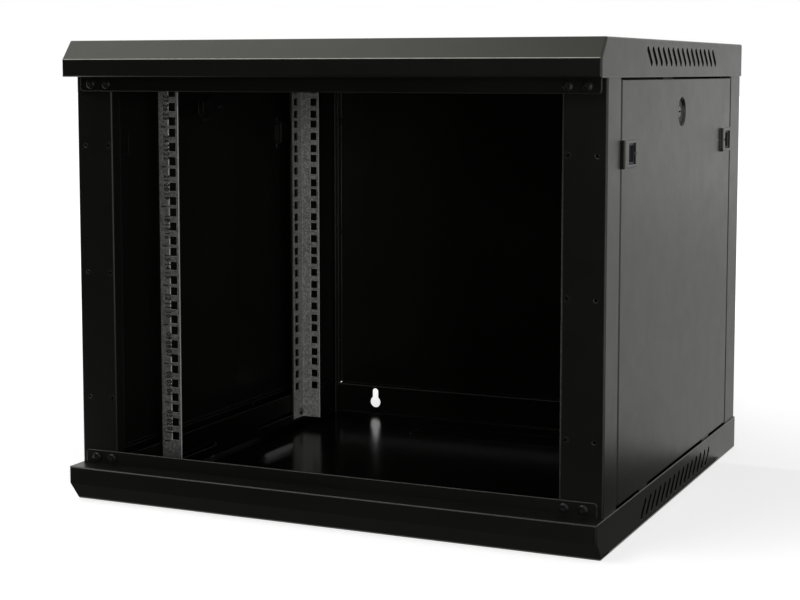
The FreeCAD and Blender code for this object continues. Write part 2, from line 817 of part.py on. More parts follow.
def left_rail_bolts(bolt_y):
    """Screw, washer and nut at each end of a rail, clamping it to the bracket webs."""
    head_x = -rail_x + rail_sheet
    washer_x = -rail_x - running_clearance - bracket_sheet - running_clearance
    nut_x = washer_x - washer_rise(m5)
    screw = pan_head_screw(m5, head_x - nut_x + nut_rise(m5) + thread_end)
    solids = []
    for z in (rail_bolt_z, height - rail_bolt_z):
        solids.append(aim(screw, Vector(head_x, bolt_y, z), along_x))
        solids.append(aim(washer(m5, washer_rise(m5)), Vector(washer_x, bolt_y, z), -along_x))
        solids.append(aim(nut_for(m5), Vector(nut_x, bolt_y, z), -along_x))
    return Part.makeCompound(solids)


# ---- side panels ------------------------------------------------------------------------


def latch_cover():
    """Raised cover of the front latch as a block, and the tools that hollow and pierce it."""
    half = latch_height / 2
    back = panel_front_y + latch_length
    block = box((latch_outer_x, -panel_inner_x), (panel_front_y, back), around(latch_z, half))
    block = soften(block, latch_corner, away_from_post)
    block = soften(block, panel_bend, lambda edge: near(middle(edge).x, latch_outer_x))
    hollow = box((latch_inner_x, -body_x + panel_depth), (panel_front_y + panel_sheet, back - panel_sheet),
                 around(latch_z, half - panel_sheet))
    hollow = soften(hollow, latch_corner - panel_sheet, away_from_post)
    through = (latch_outer_x - past, latch_inner_x + past)
    window = box(through, window_y, around(latch_z, window_height / 2))
    slit = box(through, (window_y[1] - past, back), around(latch_z, slit_height / 2))
    slot = tongue_slot((panel_front_y - past, panel_front_y + panel_sheet + past))
    return block, [hollow, window, slit, slot]


def away_from_post(edge):
    """True for the corner edges of a front latch cover, cavity or slide that are not at the post."""
    return runs_across(edge) and middle(edge).y > panel_front_y + latch_length / 2


def lock_dish():
    """Round dish pressed into the panel as a cup, and the tools that hollow and pierce it."""
    mouth = Vector(-body_x, lock_y, lock_z)
    cup = Part.makeCone(dish_radius + panel_sheet, dish_radius - dish_draft + panel_sheet,
                        dish_depth + panel_sheet, mouth, along_x)
    bowl = Part.makeCone(dish_radius, dish_radius - dish_draft, dish_depth, mouth, along_x)
    hole = screw_hole(2 * lock_barrel, mouth, along_x, dish_depth + panel_sheet)
    return cup, [bowl, hole]


def panel_hooks():
    """Hooks that drop behind the base flange and stand on its lugs."""
    outer_x = -body_x + hook_play
    z_range = (hook_bottom_z, panel_bottom_z + panel_sheet)
    return [box((outer_x, outer_x + panel_sheet), row, z_range) for row in hook_rows()]


def left_side_panel():
    """Lift-off tray with two latch covers, a lock dish and two hooks along its foot."""
    tray = box((-body_x, -body_x + panel_depth), (panel_front_y, panel_rear_y),
               (panel_bottom_z, panel_top_z))
    tray = soften(tray, panel_bend, lambda edge: near(middle(edge).x, -body_x))
    hollow = box((-panel_inner_x, -body_x + panel_depth + past),
                 (panel_front_y + panel_sheet, panel_rear_y - panel_sheet),
                 (panel_bottom_z + panel_sheet, panel_top_z - panel_sheet))
    latch_block, latch_tools = latch_cover()
    cup, lock_tools = lock_dish()
    panel = tray.cut(hollow).fuse([latch_block, mirror_panel(latch_block), cup] + panel_hooks())
    rear_tools = [mirror_panel(tool) for tool in latch_tools]
    return panel.cut(latch_tools + rear_tools + lock_tools).removeSplitter()


def left_front_slider():
    """Plastic slide: finger well behind the window, tongue towards the post, drawn back at rest."""
    start_y = panel_front_y + panel_sheet + slider_clearance + slider_travel
    end_y = panel_front_y + latch_length - panel_sheet - running_clearance
    half = latch_height / 2 - panel_sheet - slider_clearance
    body = box((slider_x, slider_back_x), (start_y, end_y), around(latch_z, half))
    body = soften(body, latch_corner - panel_sheet, away_from_post)
    tip_y = panel_front_y + running_clearance
    tongue = box((tongue_x, slider_back_x), (tip_y, start_y + past), around(latch_z, tongue_height / 2))
    tongue = soften(tongue, tongue_round, lambda edge: runs_across(edge) and near(middle(edge).y, tip_y))
    well_y = (window_y[0] + slider_travel / 2 + well_margin, window_y[1] - well_margin)
    well_z = around(latch_z, window_height / 2 - well_margin)
    well = box((slider_x - past, slider_x + well_depth), well_y, well_z)
    well = soften(well, well_round, lambda edge: middle(edge).x > slider_x)
    return body.fuse(tongue).cut(well).removeSplitter()


def left_front_keeper():
    """Strap behind a latch slide, its feet lying on the panel."""
    bridge_x = slider_back_x + running_clearance
    half = latch_height / 2 - panel_sheet
    reach = half + panel_sheet + keeper_foot
    path = [(-panel_inner_x, reach), (-panel_inner_x, half), (bridge_x, half),
            (bridge_x, -half), (-panel_inner_x, -half), (-panel_inner_x, -reach)]
    points = [Vector(x, window_y[0], latch_z + z) for x, z in path]
    return folded_sheet(points, panel_sheet, keeper_bend, along_y * keeper_width)


# ---- locks ------------------------------------------------------------------------------


def on_lock_axis(x):
    return Vector(x, lock_y, lock_z)


def left_lock_body():
    """Threaded barrel with a round flange in the dish."""
    face_x = dish_floor_x - lock_flange_rise
    flange = rod(lock_barrel + lock_flange_lap, lock_flange_rise, on_lock_axis(face_x), along_x)
    flange = soften(flange, lock_flange_round, lambda edge: is_round(edge) and near(middle(edge).x, face_x))
    barrel = rod(lock_barrel, lock_barrel_length, on_lock_axis(dish_floor_x), along_x)
    bore = rod(lock_plug + running_clearance, lock_flange_rise + lock_barrel_length + 2 * past,
               on_lock_axis(face_x - past), along_x)
    return flange.fuse(barrel).cut(bore).removeSplitter()


def left_lock_nut():
    nut = hex_nut(2 * lock_barrel, 2 * (lock_barrel + lock_nut_wall), lock_nut_height)
    return aim(nut, on_lock_axis(dish_floor_x + panel_sheet), along_x)


def left_lock_plug():
    """Turning plug with a keyway in its face and a square for the cam at its end."""
    face_x = dish_floor_x - lock_flange_rise + running_clearance
    barrel = rod(lock_plug, cam_x - face_x, on_lock_axis(face_x), along_x)
    square = box((cam_x, cam_x + cam_sheet), around(lock_y, cam_square / 2), around(lock_z, cam_square / 2))
    keyway = box((face_x - past, face_x + keyway_depth), around(lock_y, keyway_length / 2),
                 around(lock_z, keyway_width / 2))
    thread = screw_hole(m4, on_lock_axis(cam_x + cam_sheet), -along_x, cam_screw_length)
    return barrel.fuse(square).cut([keyway, thread]).removeSplitter()


def left_lock_cam():
    """Cam plate, lying level towards the front while the lock is open."""
    half = cam_width / 2
    round_end = half - 2 * screw_fit
    outline = [(0, half, -half, round_end), (0, half, half, round_end),
               (0, -cam_reach, half, cam_corner), (0, -cam_reach, -half, cam_corner)]
    corners = [(on_lock_axis(cam_x) + Vector(x, y, z), radius) for x, y, z, radius in outline]
    plate = rounded_face(corners).extrude(along_x * cam_sheet)
    side = cam_square / 2 + screw_fit
    through = (cam_x - past, cam_x + cam_sheet + past)
    return plate.cut(box(through, around(lock_y, side), around(lock_z, side)))


def left_cam_screw():
    """Screw and washer that hold the cam on its square."""
    washer_x = cam_x + cam_sheet
    plain = aim(washer(m4, cam_washer_rise), on_lock_axis(washer_x), along_x)
    screw = pan_head_screw(m4, cam_screw_length)
    return Part.makeCompound([plain, aim(screw, on_lock_axis(washer_x + cam_washer_rise), along_x)])


def left_lock_striker():
    """Stepped catch welded inside the flange of the top cover; the turned-up cam stands behind it."""
    shelf_z = height - cover_height + striker_shelf_gap
    catch_x = cam_x - running_clearance - frame_sheet
    path = [(-body_x, shelf_z + striker_leg), (-body_x, shelf_z), (catch_x, shelf_z),
            (catch_x, shelf_z - striker_drop)]
    points = [Vector(x, lock_y - striker_length / 2, z) for x, z in path]
    return folded_sheet(points, frame_sheet, frame_bend, along_y * striker_length)


# ---- earth stud -------------------------------------------------------------------------


def earth_stud():
    """Welded stud on the base with its washer and nut."""
    foot = Vector(0, body_y + earth_stud_back, floor_z)
    washer_foot = foot + upwards * earth_stud_foot_rise
    nut_foot = washer_foot + upwards * washer_rise(m6)
    stud = rod(earth_stud_foot, earth_stud_foot_rise, foot, upwards)
    stud = stud.fuse(rod(m6 / 2, earth_stud_length, foot, upwards)).removeSplitter()
    plain = aim(washer(m6, washer_rise(m6)), washer_foot, upwards)
    return Part.makeCompound([stud, plain, aim(nut_for(m6), nut_foot, upwards)])


# ---- the whole cabinet ------------------------------------------------------------------


def on_both_sides(name, shape):
    """A left-hand piece and its mirror image, named for their sides."""
    return {name.replace("SIDE", "left"): shape, name.replace("SIDE", "right"): mirror_x(shape)}


def at_all_corners(name, shape, turned):
    """A piece, its turned-over copy, and the mirror images of both; END is where they differ."""
    first, second, copy = turned
    pieces = on_both_sides(name.replace("END", first), shape)
    pieces.update(on_both_sides(name.replace("END", second), copy(shape)))
    return pieces


def cabinet():
    lower_upper = ("lower", "upper", flip_z)
    front_rear = ("front", "rear", mirror_panel)
    pieces = {
        "top_cover": top_cover(),
        "base_tray": base_tray(),
        "top_cable_cover": top_cable_cover(),
        "top_cable_cover_screws": top_cable_cover_screws(),
        "base_cable_knockout": base_cable_knockout(),
        "back_panel": back_panel(),
        "back_panel_screws": back_panel_screws(),
        "front_bottom_strip": front_bottom_strip(),
        "front_top_strip": flip_z(front_bottom_strip()),
        "front_bottom_strip_screws": strip_screws(strip_z),
        "front_top_strip_screws": strip_screws(height - strip_z),
        "base_frame_bolts": base_frame_bolts(),
        "base_frame_nuts": base_frame_nuts(),
        "top_frame_bolts": flip_z(base_frame_bolts()),
        "top_frame_nuts": flip_z(base_frame_nuts()),
        "earth_stud": earth_stud(),
    }
    pieces.update(on_both_sides("front_SIDE_post", front_left_post()))
    pieces.update(on_both_sides("rear_SIDE_post", rear_left_post()))
    pieces.update(on_both_sides("front_SIDE_inserts", front_left_inserts()))
    pieces.update(at_all_corners("END_SIDE_rail_bracket", lower_left_bracket(), lower_upper))
    pieces.update(on_both_sides("front_SIDE_rail", left_rail(front_rail_y, 1)))
    pieces.update(on_both_sides("rear_SIDE_rail", left_rail(rear_rail_y, -1)))
    pieces.update(on_both_sides("front_SIDE_rail_bolts", left_rail_bolts(front_rail_bolt_y)))
    pieces.update(on_both_sides("rear_SIDE_rail_bolts", left_rail_bolts(rear_rail_bolt_y)))
    pieces.update(on_both_sides("SIDE_panel", left_side_panel()))
    pieces.update(at_all_corners("SIDE_panel_END_slider", left_front_slider(), front_rear))
    pieces.update(at_all_corners("SIDE_panel_END_keeper", left_front_keeper(), front_rear))
    pieces.update(on_both_sides("SIDE_lock_body", left_lock_body()))
    pieces.update(on_both_sides("SIDE_lock_nut", left_lock_nut()))
    pieces.update(on_both_sides("SIDE_lock_plug", left_lock_plug()))
    pieces.update(on_both_sides("SIDE_lock_cam", left_lock_cam()))
    pieces.update(on_both_sides("SIDE_lock_cam_screw", left_cam_screw()))
    pieces.update(on_both_sides("SIDE_lock_striker", left_lock_striker()))
    return pieces


os.makedirs("parts", exist_ok=True)
for piece_name, piece in cabinet().items():
    piece.exportStep("parts/" + piece_name + ".step")
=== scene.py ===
import math
import bmesh, bpy
from mathutils import Matrix, Vector


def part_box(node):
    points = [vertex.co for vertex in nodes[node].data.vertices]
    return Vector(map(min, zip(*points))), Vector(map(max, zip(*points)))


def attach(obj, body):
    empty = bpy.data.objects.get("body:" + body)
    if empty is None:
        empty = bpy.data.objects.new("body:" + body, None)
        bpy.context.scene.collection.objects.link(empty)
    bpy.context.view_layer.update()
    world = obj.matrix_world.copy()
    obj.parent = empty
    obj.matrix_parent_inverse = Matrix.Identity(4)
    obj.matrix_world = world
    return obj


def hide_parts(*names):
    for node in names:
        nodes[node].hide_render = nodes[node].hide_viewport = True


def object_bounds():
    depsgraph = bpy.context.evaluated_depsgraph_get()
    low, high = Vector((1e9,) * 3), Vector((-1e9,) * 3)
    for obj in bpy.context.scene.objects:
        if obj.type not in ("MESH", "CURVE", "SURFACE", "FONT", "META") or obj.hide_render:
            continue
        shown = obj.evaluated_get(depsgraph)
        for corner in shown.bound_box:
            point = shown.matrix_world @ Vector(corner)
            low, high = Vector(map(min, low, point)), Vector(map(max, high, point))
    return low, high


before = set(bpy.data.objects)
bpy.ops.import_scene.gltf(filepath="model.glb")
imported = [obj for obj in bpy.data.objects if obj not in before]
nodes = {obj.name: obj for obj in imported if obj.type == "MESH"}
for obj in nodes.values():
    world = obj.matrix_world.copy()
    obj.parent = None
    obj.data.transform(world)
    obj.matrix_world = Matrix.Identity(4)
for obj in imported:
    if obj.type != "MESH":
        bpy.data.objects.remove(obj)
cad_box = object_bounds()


# ---- top cover and base tray -----------------------------------------------------------------
# Two folded trays of 1.5 mm sheet steel with a bevelled visor along the front edge. They are
# powder coated black after folding, so the coat has a fine orange peel and thins on the edges.
# The edges are also painted paler as a highlight, the visor fold gets a painted highlight, and the
# vent walls are painted near black as shade.

def add_node(tree, kind, inputs=None, **settings):
    """Add a node, set its options, and set or link its inputs by name or number."""
    made = tree.nodes.new(kind)
    for option, value in settings.items():
        setattr(made, option, value)
    for key, value in (inputs or {}).items():
        if isinstance(value, bpy.types.NodeSocket):
            tree.links.new(value, made.inputs[key])
        else:
            made.inputs[key].default_value = value
    return made


def work_out(tree, operation, *values):
    """Result of a maths operation on one, two or three values."""
    return add_node(tree, "ShaderNodeMath", dict(enumerate(values)), operation=operation).outputs[0]


def times(tree, *values):
    """Product of two or more values."""
    product = values[0]
    for value in values[1:]:
        product = work_out(tree, "MULTIPLY", product, value)
    return product


def within(tree, value, low, high):
    """1 where a value lies between two limits."""
    return work_out(tree, "COMPARE", value, (low + high) / 2, (high - low) / 2)


def mixed(tree, factor, first, second, way="MIX"):
    """Colour between two colours, or their product where the way is MULTIPLY."""
    return add_node(tree, "ShaderNodeMix", {"Factor": factor, "A": first, "B": second},
                    data_type="RGBA", blend_type=way).outputs["Result"]


def ramp(tree, value, low, high, start=0.0, end=1.0):
    """Map a value from start..end to low..high, clamped; low and high may be colours."""
    if isinstance(low, tuple):
        return mixed(tree, ramp(tree, value, 0.0, 1.0, start, end), (*low, 1.0), (*high, 1.0))
    return add_node(tree, "ShaderNodeMapRange", {"Value": value, "From Min": start, "From Max": end,
                                                 "To Min": low, "To Max": high}).outputs["Result"]


def own_place(tree):
    """X, Y and Z of each point, fixed to the piece."""
    place = add_node(tree, "ShaderNodeTexCoord").outputs["Object"]
    return add_node(tree, "ShaderNodeSeparateXYZ", {0: place}).outputs


def own_facing(tree):
    """X, Y and Z of the direction that each face looks in."""
    facing = add_node(tree, "ShaderNodeNewGeometry").outputs["True Normal"]
    return add_node(tree, "ShaderNodeSeparateXYZ", {0: facing}).outputs


def grain(tree, scale, detail=2.0, roughness=0.5):
    """Noise at a scale in lumps per metre, fixed to the piece."""
    place = add_node(tree, "ShaderNodeTexCoord").outputs["Object"]
    return add_node(tree, "ShaderNodeTexNoise", {"Vector": place, "Scale": scale, "Detail": detail,
                                                 "Roughness": roughness}).outputs["Fac"]


def likeness(tree, first, second):
    """Cosine of the angle between two directions."""
    product = add_node(tree, "ShaderNodeVectorMath", {0: first, 1: second}, operation="DOT_PRODUCT")
    return product.outputs["Value"]


def rounded_edges(tree, radius):
    """Normal that is rounded over the edges of the sheet, and how far each point is on an edge."""
    rounded = add_node(tree, "ShaderNodeBevel", {"Radius": radius}, samples=6).outputs["Normal"]
    flat = add_node(tree, "ShaderNodeNewGeometry").outputs["Normal"]
    return rounded, ramp(tree, likeness(tree, rounded, flat), 1.0, 0.0, 0.93, 0.995)


def bumped(tree, height, strength, distance, normal):
    """Normal roughened by a pattern."""
    return add_node(tree, "ShaderNodeBump", {"Height": height, "Strength": strength, "Distance": distance,
                                             "Normal": normal}).outputs["Normal"]


def new_finish(name, **constants):
    """Material with a Principled shader whose constant sockets are set by name."""
    finish = bpy.data.materials.new(name)
    finish.use_nodes = True
    shader = finish.node_tree.nodes["Principled BSDF"]
    for socket, value in constants.items():
        shader.inputs[socket.replace("_", " ")].default_value = value
    return finish, finish.node_tree, shader


def lay_on(tree, shader, colour, roughness, normal):
    """Connect the colour, roughness and normal of a finish to its shader."""
    for socket, value in (("Base Color", colour), ("Roughness", roughness), ("Normal", normal)):
        tree.links.new(value, shader.inputs[socket])


def dress(finish, *names):
    """Give CAD nodes a finish."""
    for name in names:
        nodes[name].data.materials.clear()
        nodes[name].data.materials.append(finish)


coat_rounding = 0.0017       # radius of the coat over a sheet edge
# paler colour on the edges: partly coat worn thin, partly a painted highlight
worn_and_highlit_coat = (0.016, 0.016, 0.015, 1.0)
# pale colour of the painted highlight along the visor fold
fold_highlight_coat = (0.26, 0.26, 0.24, 1.0)
# near black matt colour painted on the vent walls as shade
painted_dark_cut = (0.0015, 0.0015, 0.0014, 1.0)
flange_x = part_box("base_tray")[1][0]
flange_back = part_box("base_tray")[1][1]
flange_sheet = 0.002         # a little more than the sheet of the flanges
vents_reach = 0.2            # the vents lie this near to the middle of a side
vents_low, vents_high = 0.007, 0.0285        # and between these distances from the outside of a cover


def vents_painted_dark(tree, shader, low, high):
    """Paint the cut walls of the side vents near black and matt as painted shade, between two heights."""
    place = own_place(tree)
    out = work_out(tree, "ABSOLUTE", place[0])
    cut = times(tree, within(tree, own_facing(tree)[0], -0.5, 0.5),
                within(tree, out, flange_x - flange_sheet, flange_x - 0.0001),
                within(tree, place[1], -vents_reach, vents_reach), within(tree, place[2], low, high))
    painted_dark_wall = add_node(tree, "ShaderNodeBsdfDiffuse", {"Color": painted_dark_cut}).outputs["BSDF"]
    both = add_node(tree, "ShaderNodeMixShader", {0: cut, 1: shader.outputs["BSDF"], 2: painted_dark_wall})
    tree.links.new(both.outputs["Shader"], tree.nodes["Material Output"].inputs["Surface"])


def powder_coat(name, depth=1.0, gloss=0.42, highlit_fold=None, smooth_floor=None, vents=None):
    """Satin black coat with paler edges, partly coat worn thin and partly a painted highlight. A fold
    that looks one way gets a painted highlight, a floor between two pairs of limits is smoother,
    and vents between two heights get their cut walls painted near black as painted shade."""
    finish, tree, shader = new_finish(name, Metallic=0.0, Specular_IOR_Level=gloss,
                                      Specular_Tint=(0.99, 1.0, 0.86, 1.0))
    dark = (0.0018 * depth, 0.0018 * depth, 0.00171 * depth)
    light = (0.0028 * depth, 0.0028 * depth, 0.00266 * depth)
    smudge = grain(tree, 42.0, 4.0, 0.62)
    rounded, edge = rounded_edges(tree, coat_rounding)
    # edges paler, partly wear and partly painted highlight
    colour = mixed(tree, edge, ramp(tree, grain(tree, 5.0, 3.0), dark, light, 0.3, 0.7), worn_and_highlit_coat)
    # painted highlight: the fold that faces the lamps is painted pale, broken up by noise
    if highlit_fold:
        facing = add_node(tree, "ShaderNodeNewGeometry").outputs["Normal"]
        on_fold = ramp(tree, likeness(tree, facing, Vector(highlit_fold).normalized()), 0.0, 1.0, 0.970, 0.988)
        highlight_on_fold = times(tree, on_fold, ramp(tree, smudge, 0.7, 1.0, 0.3, 0.6))
        colour = mixed(tree, highlight_on_fold, colour, fold_highlight_coat)
    satin = ramp(tree, smudge, 0.345, 0.385, 0.3, 0.7)
    if smooth_floor:
        place = own_place(tree)
        on_floor = times(tree, *(within(tree, place[axis], *smooth_floor[axis]) for axis in (0, 1)))
        satin = times(tree, satin, ramp(tree, on_floor, 1.0, 0.45))
    satin = times(tree, satin, ramp(tree, edge, 1.0, 0.5))
    peel = bumped(tree, grain(tree, 420.0), 0.10, 0.0003, rounded)
    lay_on(tree, shader, colour, satin, bumped(tree, grain(tree, 2600.0, 1.0), 0.10, 0.0001, peel))
    if vents:
        vents_painted_dark(tree, shader, *vents)
    return finish


top_z = cad_box[1][2]
# the fold that looks this way gets a painted highlight
fold_facing = (0.0, -0.93, 0.37)             # outwards from the fold between visor bevel and lip
floor_x, floor_front, floor_back = 0.250, -0.21, flange_back - 0.012
floor = ((-floor_x, floor_x), (floor_front, floor_back))
top_vents = (top_z - vents_high, top_z - vents_low)
dress(powder_coat("black_powder_coat"), *nodes)
dress(powder_coat("black_powder_coat_visor", highlit_fold=fold_facing, vents=top_vents), "top_cover")
dress(powder_coat("black_powder_coat_floor", smooth_floor=floor, vents=(vents_low, vents_high)),
      "base_tray", "base_cable_knockout")


# ---- posts, strips and rail brackets ---------------------------------------------------------
# Four folded posts, the two strips across the opening and the back panel have the covers' coat.
# The four slotted channels that carry the rails are out of sight, and get a far darker matt coat as painted
# shade.

brackets = [name for name in nodes if name.endswith("_bracket")]
# painted shade: the brackets get a far darker, less glossy version of the coat
dress(powder_coat("matt_black_painted_shade", depth=0.4, gloss=0.12), *brackets)


# ---- rack rails ------------------------------------------------------------------------------
# Four angle rails of 2 mm sheet, punched square in both legs and zinc coated, so their grey
# has a fine speckle. Hole numbers and unit ticks are printed on the outer face.

rails = [name for name in nodes if name.endswith("_rail")]
rail_sheet = 0.002
rail_side_x = max(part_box(rail)[1][0] for rail in rails)
rail_face_y = min(abs(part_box(rail)[0 if rail.startswith("front") else 1][1]) for rail in rails)
# pale zinc painted on edges and face-leg hole walls as highlights, dark zinc on side-leg hole walls as shade
edge_highlight_zinc = (0.35, 0.35, 0.34, 1.0)
highlit_hole_zinc = (0.40, 0.40, 0.385, 1.0)
shaded_hole_zinc = (0.030, 0.030, 0.029, 1.0)


def zinc_coat():
    """Speckled zinc with painted light: rear rails paler, painted highlights on the edges and on the face
    leg's hole walls, painted shade on the other leg's hole walls.
    """
    finish, tree, shader = new_finish("galvanised_rail", Metallic=0.25)
    around = add_node(tree, "ShaderNodeTexCoord").outputs["Object"]
    spangle = add_node(tree, "ShaderNodeTexVoronoi", {"Vector": around, "Scale": 520.0}).outputs["Color"]
    speck = grain(tree, 900.0, 3.0, 0.7)
    speckle = times(tree, add_node(tree, "ShaderNodeSeparateColor", {0: spangle}).outputs[0], speck)
    rounded, edge = rounded_edges(tree, 0.0005)
    place, facing = own_place(tree), own_facing(tree)
    colour = ramp(tree, speckle, (0.062, 0.062, 0.060), (0.165, 0.165, 0.160), 0.05, 0.60)
    # painted light: the rear rails are made paler and the front ones a little darker
    colour = mixed(tree, 1.0, colour, ramp(tree, place[1], (0.92,) * 3, (1.75,) * 3, -0.1, 0.1), "MULTIPLY")
    # edges painted pale as a highlight
    colour = mixed(tree, edge, colour, edge_highlight_zinc)
    across, along = (work_out(tree, "ABSOLUTE", place[axis]) for axis in (0, 1))
    # hole walls: painted highlight in the face leg, painted shade in the side leg
    for depth, outer, width, reach, look, painted_wall_tone in (
            (along, rail_face_y, across, rail_side_x, facing[1], highlit_hole_zinc),
            (across, rail_side_x, along, rail_face_y, facing[0], shaded_hole_zinc)):
        cut = times(tree, within(tree, depth, outer - rail_sheet, outer + 0.001),
                    within(tree, width, 0.0, reach - rail_sheet), within(tree, look, -0.4, 0.4))
        colour = mixed(tree, cut, colour, painted_wall_tone)
    roughness = ramp(tree, speck, 0.42, 0.62, 0.3, 0.7)
    lay_on(tree, shader, colour, roughness, bumped(tree, speckle, 0.35, 0.0002, rounded))
    return finish


dress(zinc_coat(), *rails)


def new_tree(name, sizes):
    """Geometry tree with a named input for each size; returns it and the outputs of its input node."""
    tree = bpy.data.node_groups.new(name, "GeometryNodeTree")
    tree.interface.new_socket("Geometry", in_out="OUTPUT", socket_type="NodeSocketGeometry")
    tree.interface.new_socket("Geometry", in_out="INPUT", socket_type="NodeSocketGeometry")
    for size, value in sizes.items():
        kind = {int: "NodeSocketInt", str: "NodeSocketString"}.get(type(value), "NodeSocketFloat")
        tree.interface.new_socket(size, in_out="INPUT", socket_type=kind).default_value = value
    return tree, tree.nodes.new("NodeGroupInput").outputs


def vector(tree, x=0.0, y=0.0, z=0.0):
    return add_node(tree, "ShaderNodeCombineXYZ", {0: x, 1: y, 2: z}).outputs[0]


def realized(tree, shape):
    return add_node(tree, "GeometryNodeRealizeInstances", {"Geometry": shape}).outputs[0]


def put_at(tree, shape, place):
    """Move each point of a shape to a place."""
    return add_node(tree, "GeometryNodeSetPosition", {"Geometry": shape, "Position": place}).outputs[0]


def joined(tree, *shapes):
    join = add_node(tree, "GeometryNodeJoinGeometry")
    for shape in shapes:
        tree.links.new(shape, join.inputs[0])
    return join.outputs[0]


def close_tree(tree, shape, finish):
    """End a geometry tree in a real mesh with one finish."""
    real = realized(tree, shape)
    finished = add_node(tree, "GeometryNodeSetMaterial", {"Geometry": real, "Material": finish}).outputs[0]
    add_node(tree, "NodeGroupOutput", {0: finished})


def grow(name, start, tree, sizes):
    """Run a geometry tree on a starting mesh with these sizes, and keep what it makes as a plain mesh."""
    piece = bpy.data.objects.new(name, start)
    bpy.context.scene.collection.objects.link(piece)
    modifier = piece.modifiers.new("grow", "NODES")
    modifier.node_group = tree
    for socket in tree.interface.items_tree:
        if socket.in_out == "INPUT" and socket.name in sizes:
            modifier[socket.identifier] = sizes[socket.name]
    graph = bpy.context.evaluated_depsgraph_get()
    grown = bpy.data.meshes.new_from_object(piece.evaluated_get(graph), depsgraph=graph)
    piece.modifiers.clear()
    piece.data = grown
    return piece


def printing_ink():
    finish, tree, shader = new_finish("printing_ink", Metallic=0.0, Specular_IOR_Level=0.3)
    thin = grain(tree, 2200.0, 3.0, 0.7)
    bump = add_node(tree, "ShaderNodeBump", {"Height": thin, "Strength": 0.2, "Distance": 0.00005})
    lay_on(tree, shader, ramp(tree, thin, (0.0015,) * 3, (0.012,) * 3, 0.35, 0.75),
           ramp(tree, thin, 0.55, 0.75), bump.outputs["Normal"])
    return finish


rack_units = 9
rack_unit = 0.04445
holes_a_unit = 3
hole_numbers = "".join("%02d" % number for number in range(holes_a_unit * rack_units, 0, -1))


def rail_print_tree(finish):
    """Hole numbers, two digits each and three to a unit, and a tick between units, along +X."""
    tree, size = new_tree("rail_print", {"Digits": hole_numbers, "Units": rack_units, "Unit": rack_unit,
                                         "Digit height": 0.0100, "Digit width": 0.74, "Digit pitch": 0.0043,
                                         "Pair pitch": 0.0098, "First digit": 0.0090, "Ink": 0.00003,
                                         "Border": 0.00030, "Tick length": 0.0064, "Tick width": 0.0015})
    digits = add_node(tree, "GeometryNodeStringToCurves",
                      {"String": size["Digits"], "Size": size["Digit height"]},
                      align_x="LEFT", pivot_mode="MIDPOINT").outputs[0]
    digits = add_node(tree, "GeometryNodeSetSplineResolution",
                      {"Geometry": digits, "Resolution": 2}).outputs[0]
    order = add_node(tree, "GeometryNodeInputIndex").outputs[0]
    pair = work_out(tree, "FLOOR", work_out(tree, "DIVIDE", order, 2.0))
    unit = work_out(tree, "FLOOR", work_out(tree, "DIVIDE", pair, float(holes_a_unit)))
    second = times(tree, work_out(tree, "MODULO", order, 2.0), size["Digit pitch"])
    hole = work_out(tree, "MODULO", pair, float(holes_a_unit))
    in_unit = work_out(tree, "MULTIPLY_ADD", hole, size["Pair pitch"], second)
    in_unit = work_out(tree, "ADD", in_unit, size["First digit"])
    digits = put_at(tree, digits, vector(tree, work_out(tree, "MULTIPLY_ADD", unit, size["Unit"], in_unit)))
    digits = add_node(tree, "GeometryNodeScaleInstances",
                      {"Instances": digits, "Scale": vector(tree, size["Digit width"], 1.0, 1.0)}).outputs[0]
    digits = realized(tree, digits)
    face = add_node(tree, "GeometryNodeFillCurve", {0: digits}).outputs[0]
    bead = add_node(tree, "GeometryNodeCurvePrimitiveCircle", {"Resolution": 4, "Radius": size["Border"]},
                    mode="RADIUS").outputs[0]
    border = add_node(tree, "GeometryNodeCurveToMesh", {"Curve": digits, "Profile Curve": bead}).outputs[0]
    level = vector(tree, 1.0, 1.0, work_out(tree, "DIVIDE", size["Ink"], size["Border"]))
    border = add_node(tree, "GeometryNodeTransform", {"Geometry": border, "Scale": level}).outputs[0]

    ticks = add_node(tree, "GeometryNodeMeshLine", {"Count": work_out(tree, "ADD", size["Units"], 1.0),
                                                    "Offset": vector(tree, size["Unit"])}).outputs[0]
    tick = add_node(tree, "GeometryNodeMeshGrid",
                    {"Size X": size["Tick width"], "Size Y": size["Tick length"],
                     "Vertices X": 2, "Vertices Y": 2}).outputs[0]
    ticks = add_node(tree, "GeometryNodeInstanceOnPoints", {"Points": ticks, "Instance": tick}).outputs[0]
    flat = joined(tree, face, realized(tree, ticks))
    raised = add_node(tree, "GeometryNodeExtrudeMesh", {"Mesh": flat, "Offset Scale": size["Ink"],
                                                        "Individual": False}).outputs[0]
    under = add_node(tree, "GeometryNodeFlipFaces", {"Mesh": flat}).outputs[0]
    closed = add_node(tree, "GeometryNodeMergeByDistance",
                      {"Geometry": joined(tree, raised, under), "Distance": 0.000005}).outputs[0]
    close_tree(tree, joined(tree, closed, border), finish)
    return tree


rail_print = rail_print_tree(printing_ink())
print_in = 0.0078            # middle of the printed column, from the outside of the rail's bend

for rail in rails:
    low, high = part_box(rail)
    front = -1 if rail.startswith("front") else 1          # the printed face looks this way along Y
    column_x = (low[0] + print_in) if "left" in rail else (high[0] - print_in)
    face_y = low[1] if front < 0 else high[1]
    holes_top = (low[2] + high[2] + rack_units * rack_unit) / 2
    marks = grow(rail + "_print", bpy.data.meshes.new(rail + "_print"), rail_print, {})
    down_the_rail = Matrix(((0, -front, 0, column_x), (0, 0, front, face_y), (-1, 0, 0, holes_top),
                            (0, 0, 0, 1)))
    marks.data.transform(down_the_rail)
    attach(marks, rail)


# ---- screws, bolts and nuts ------------------------------------------------------------------
# Pan head screws with a cross recess and a rolled thread hold the strips, the back panel, the
# cable cover, the frame and the rails. They are steel, black or zinc plated; nuts are zinc plated.

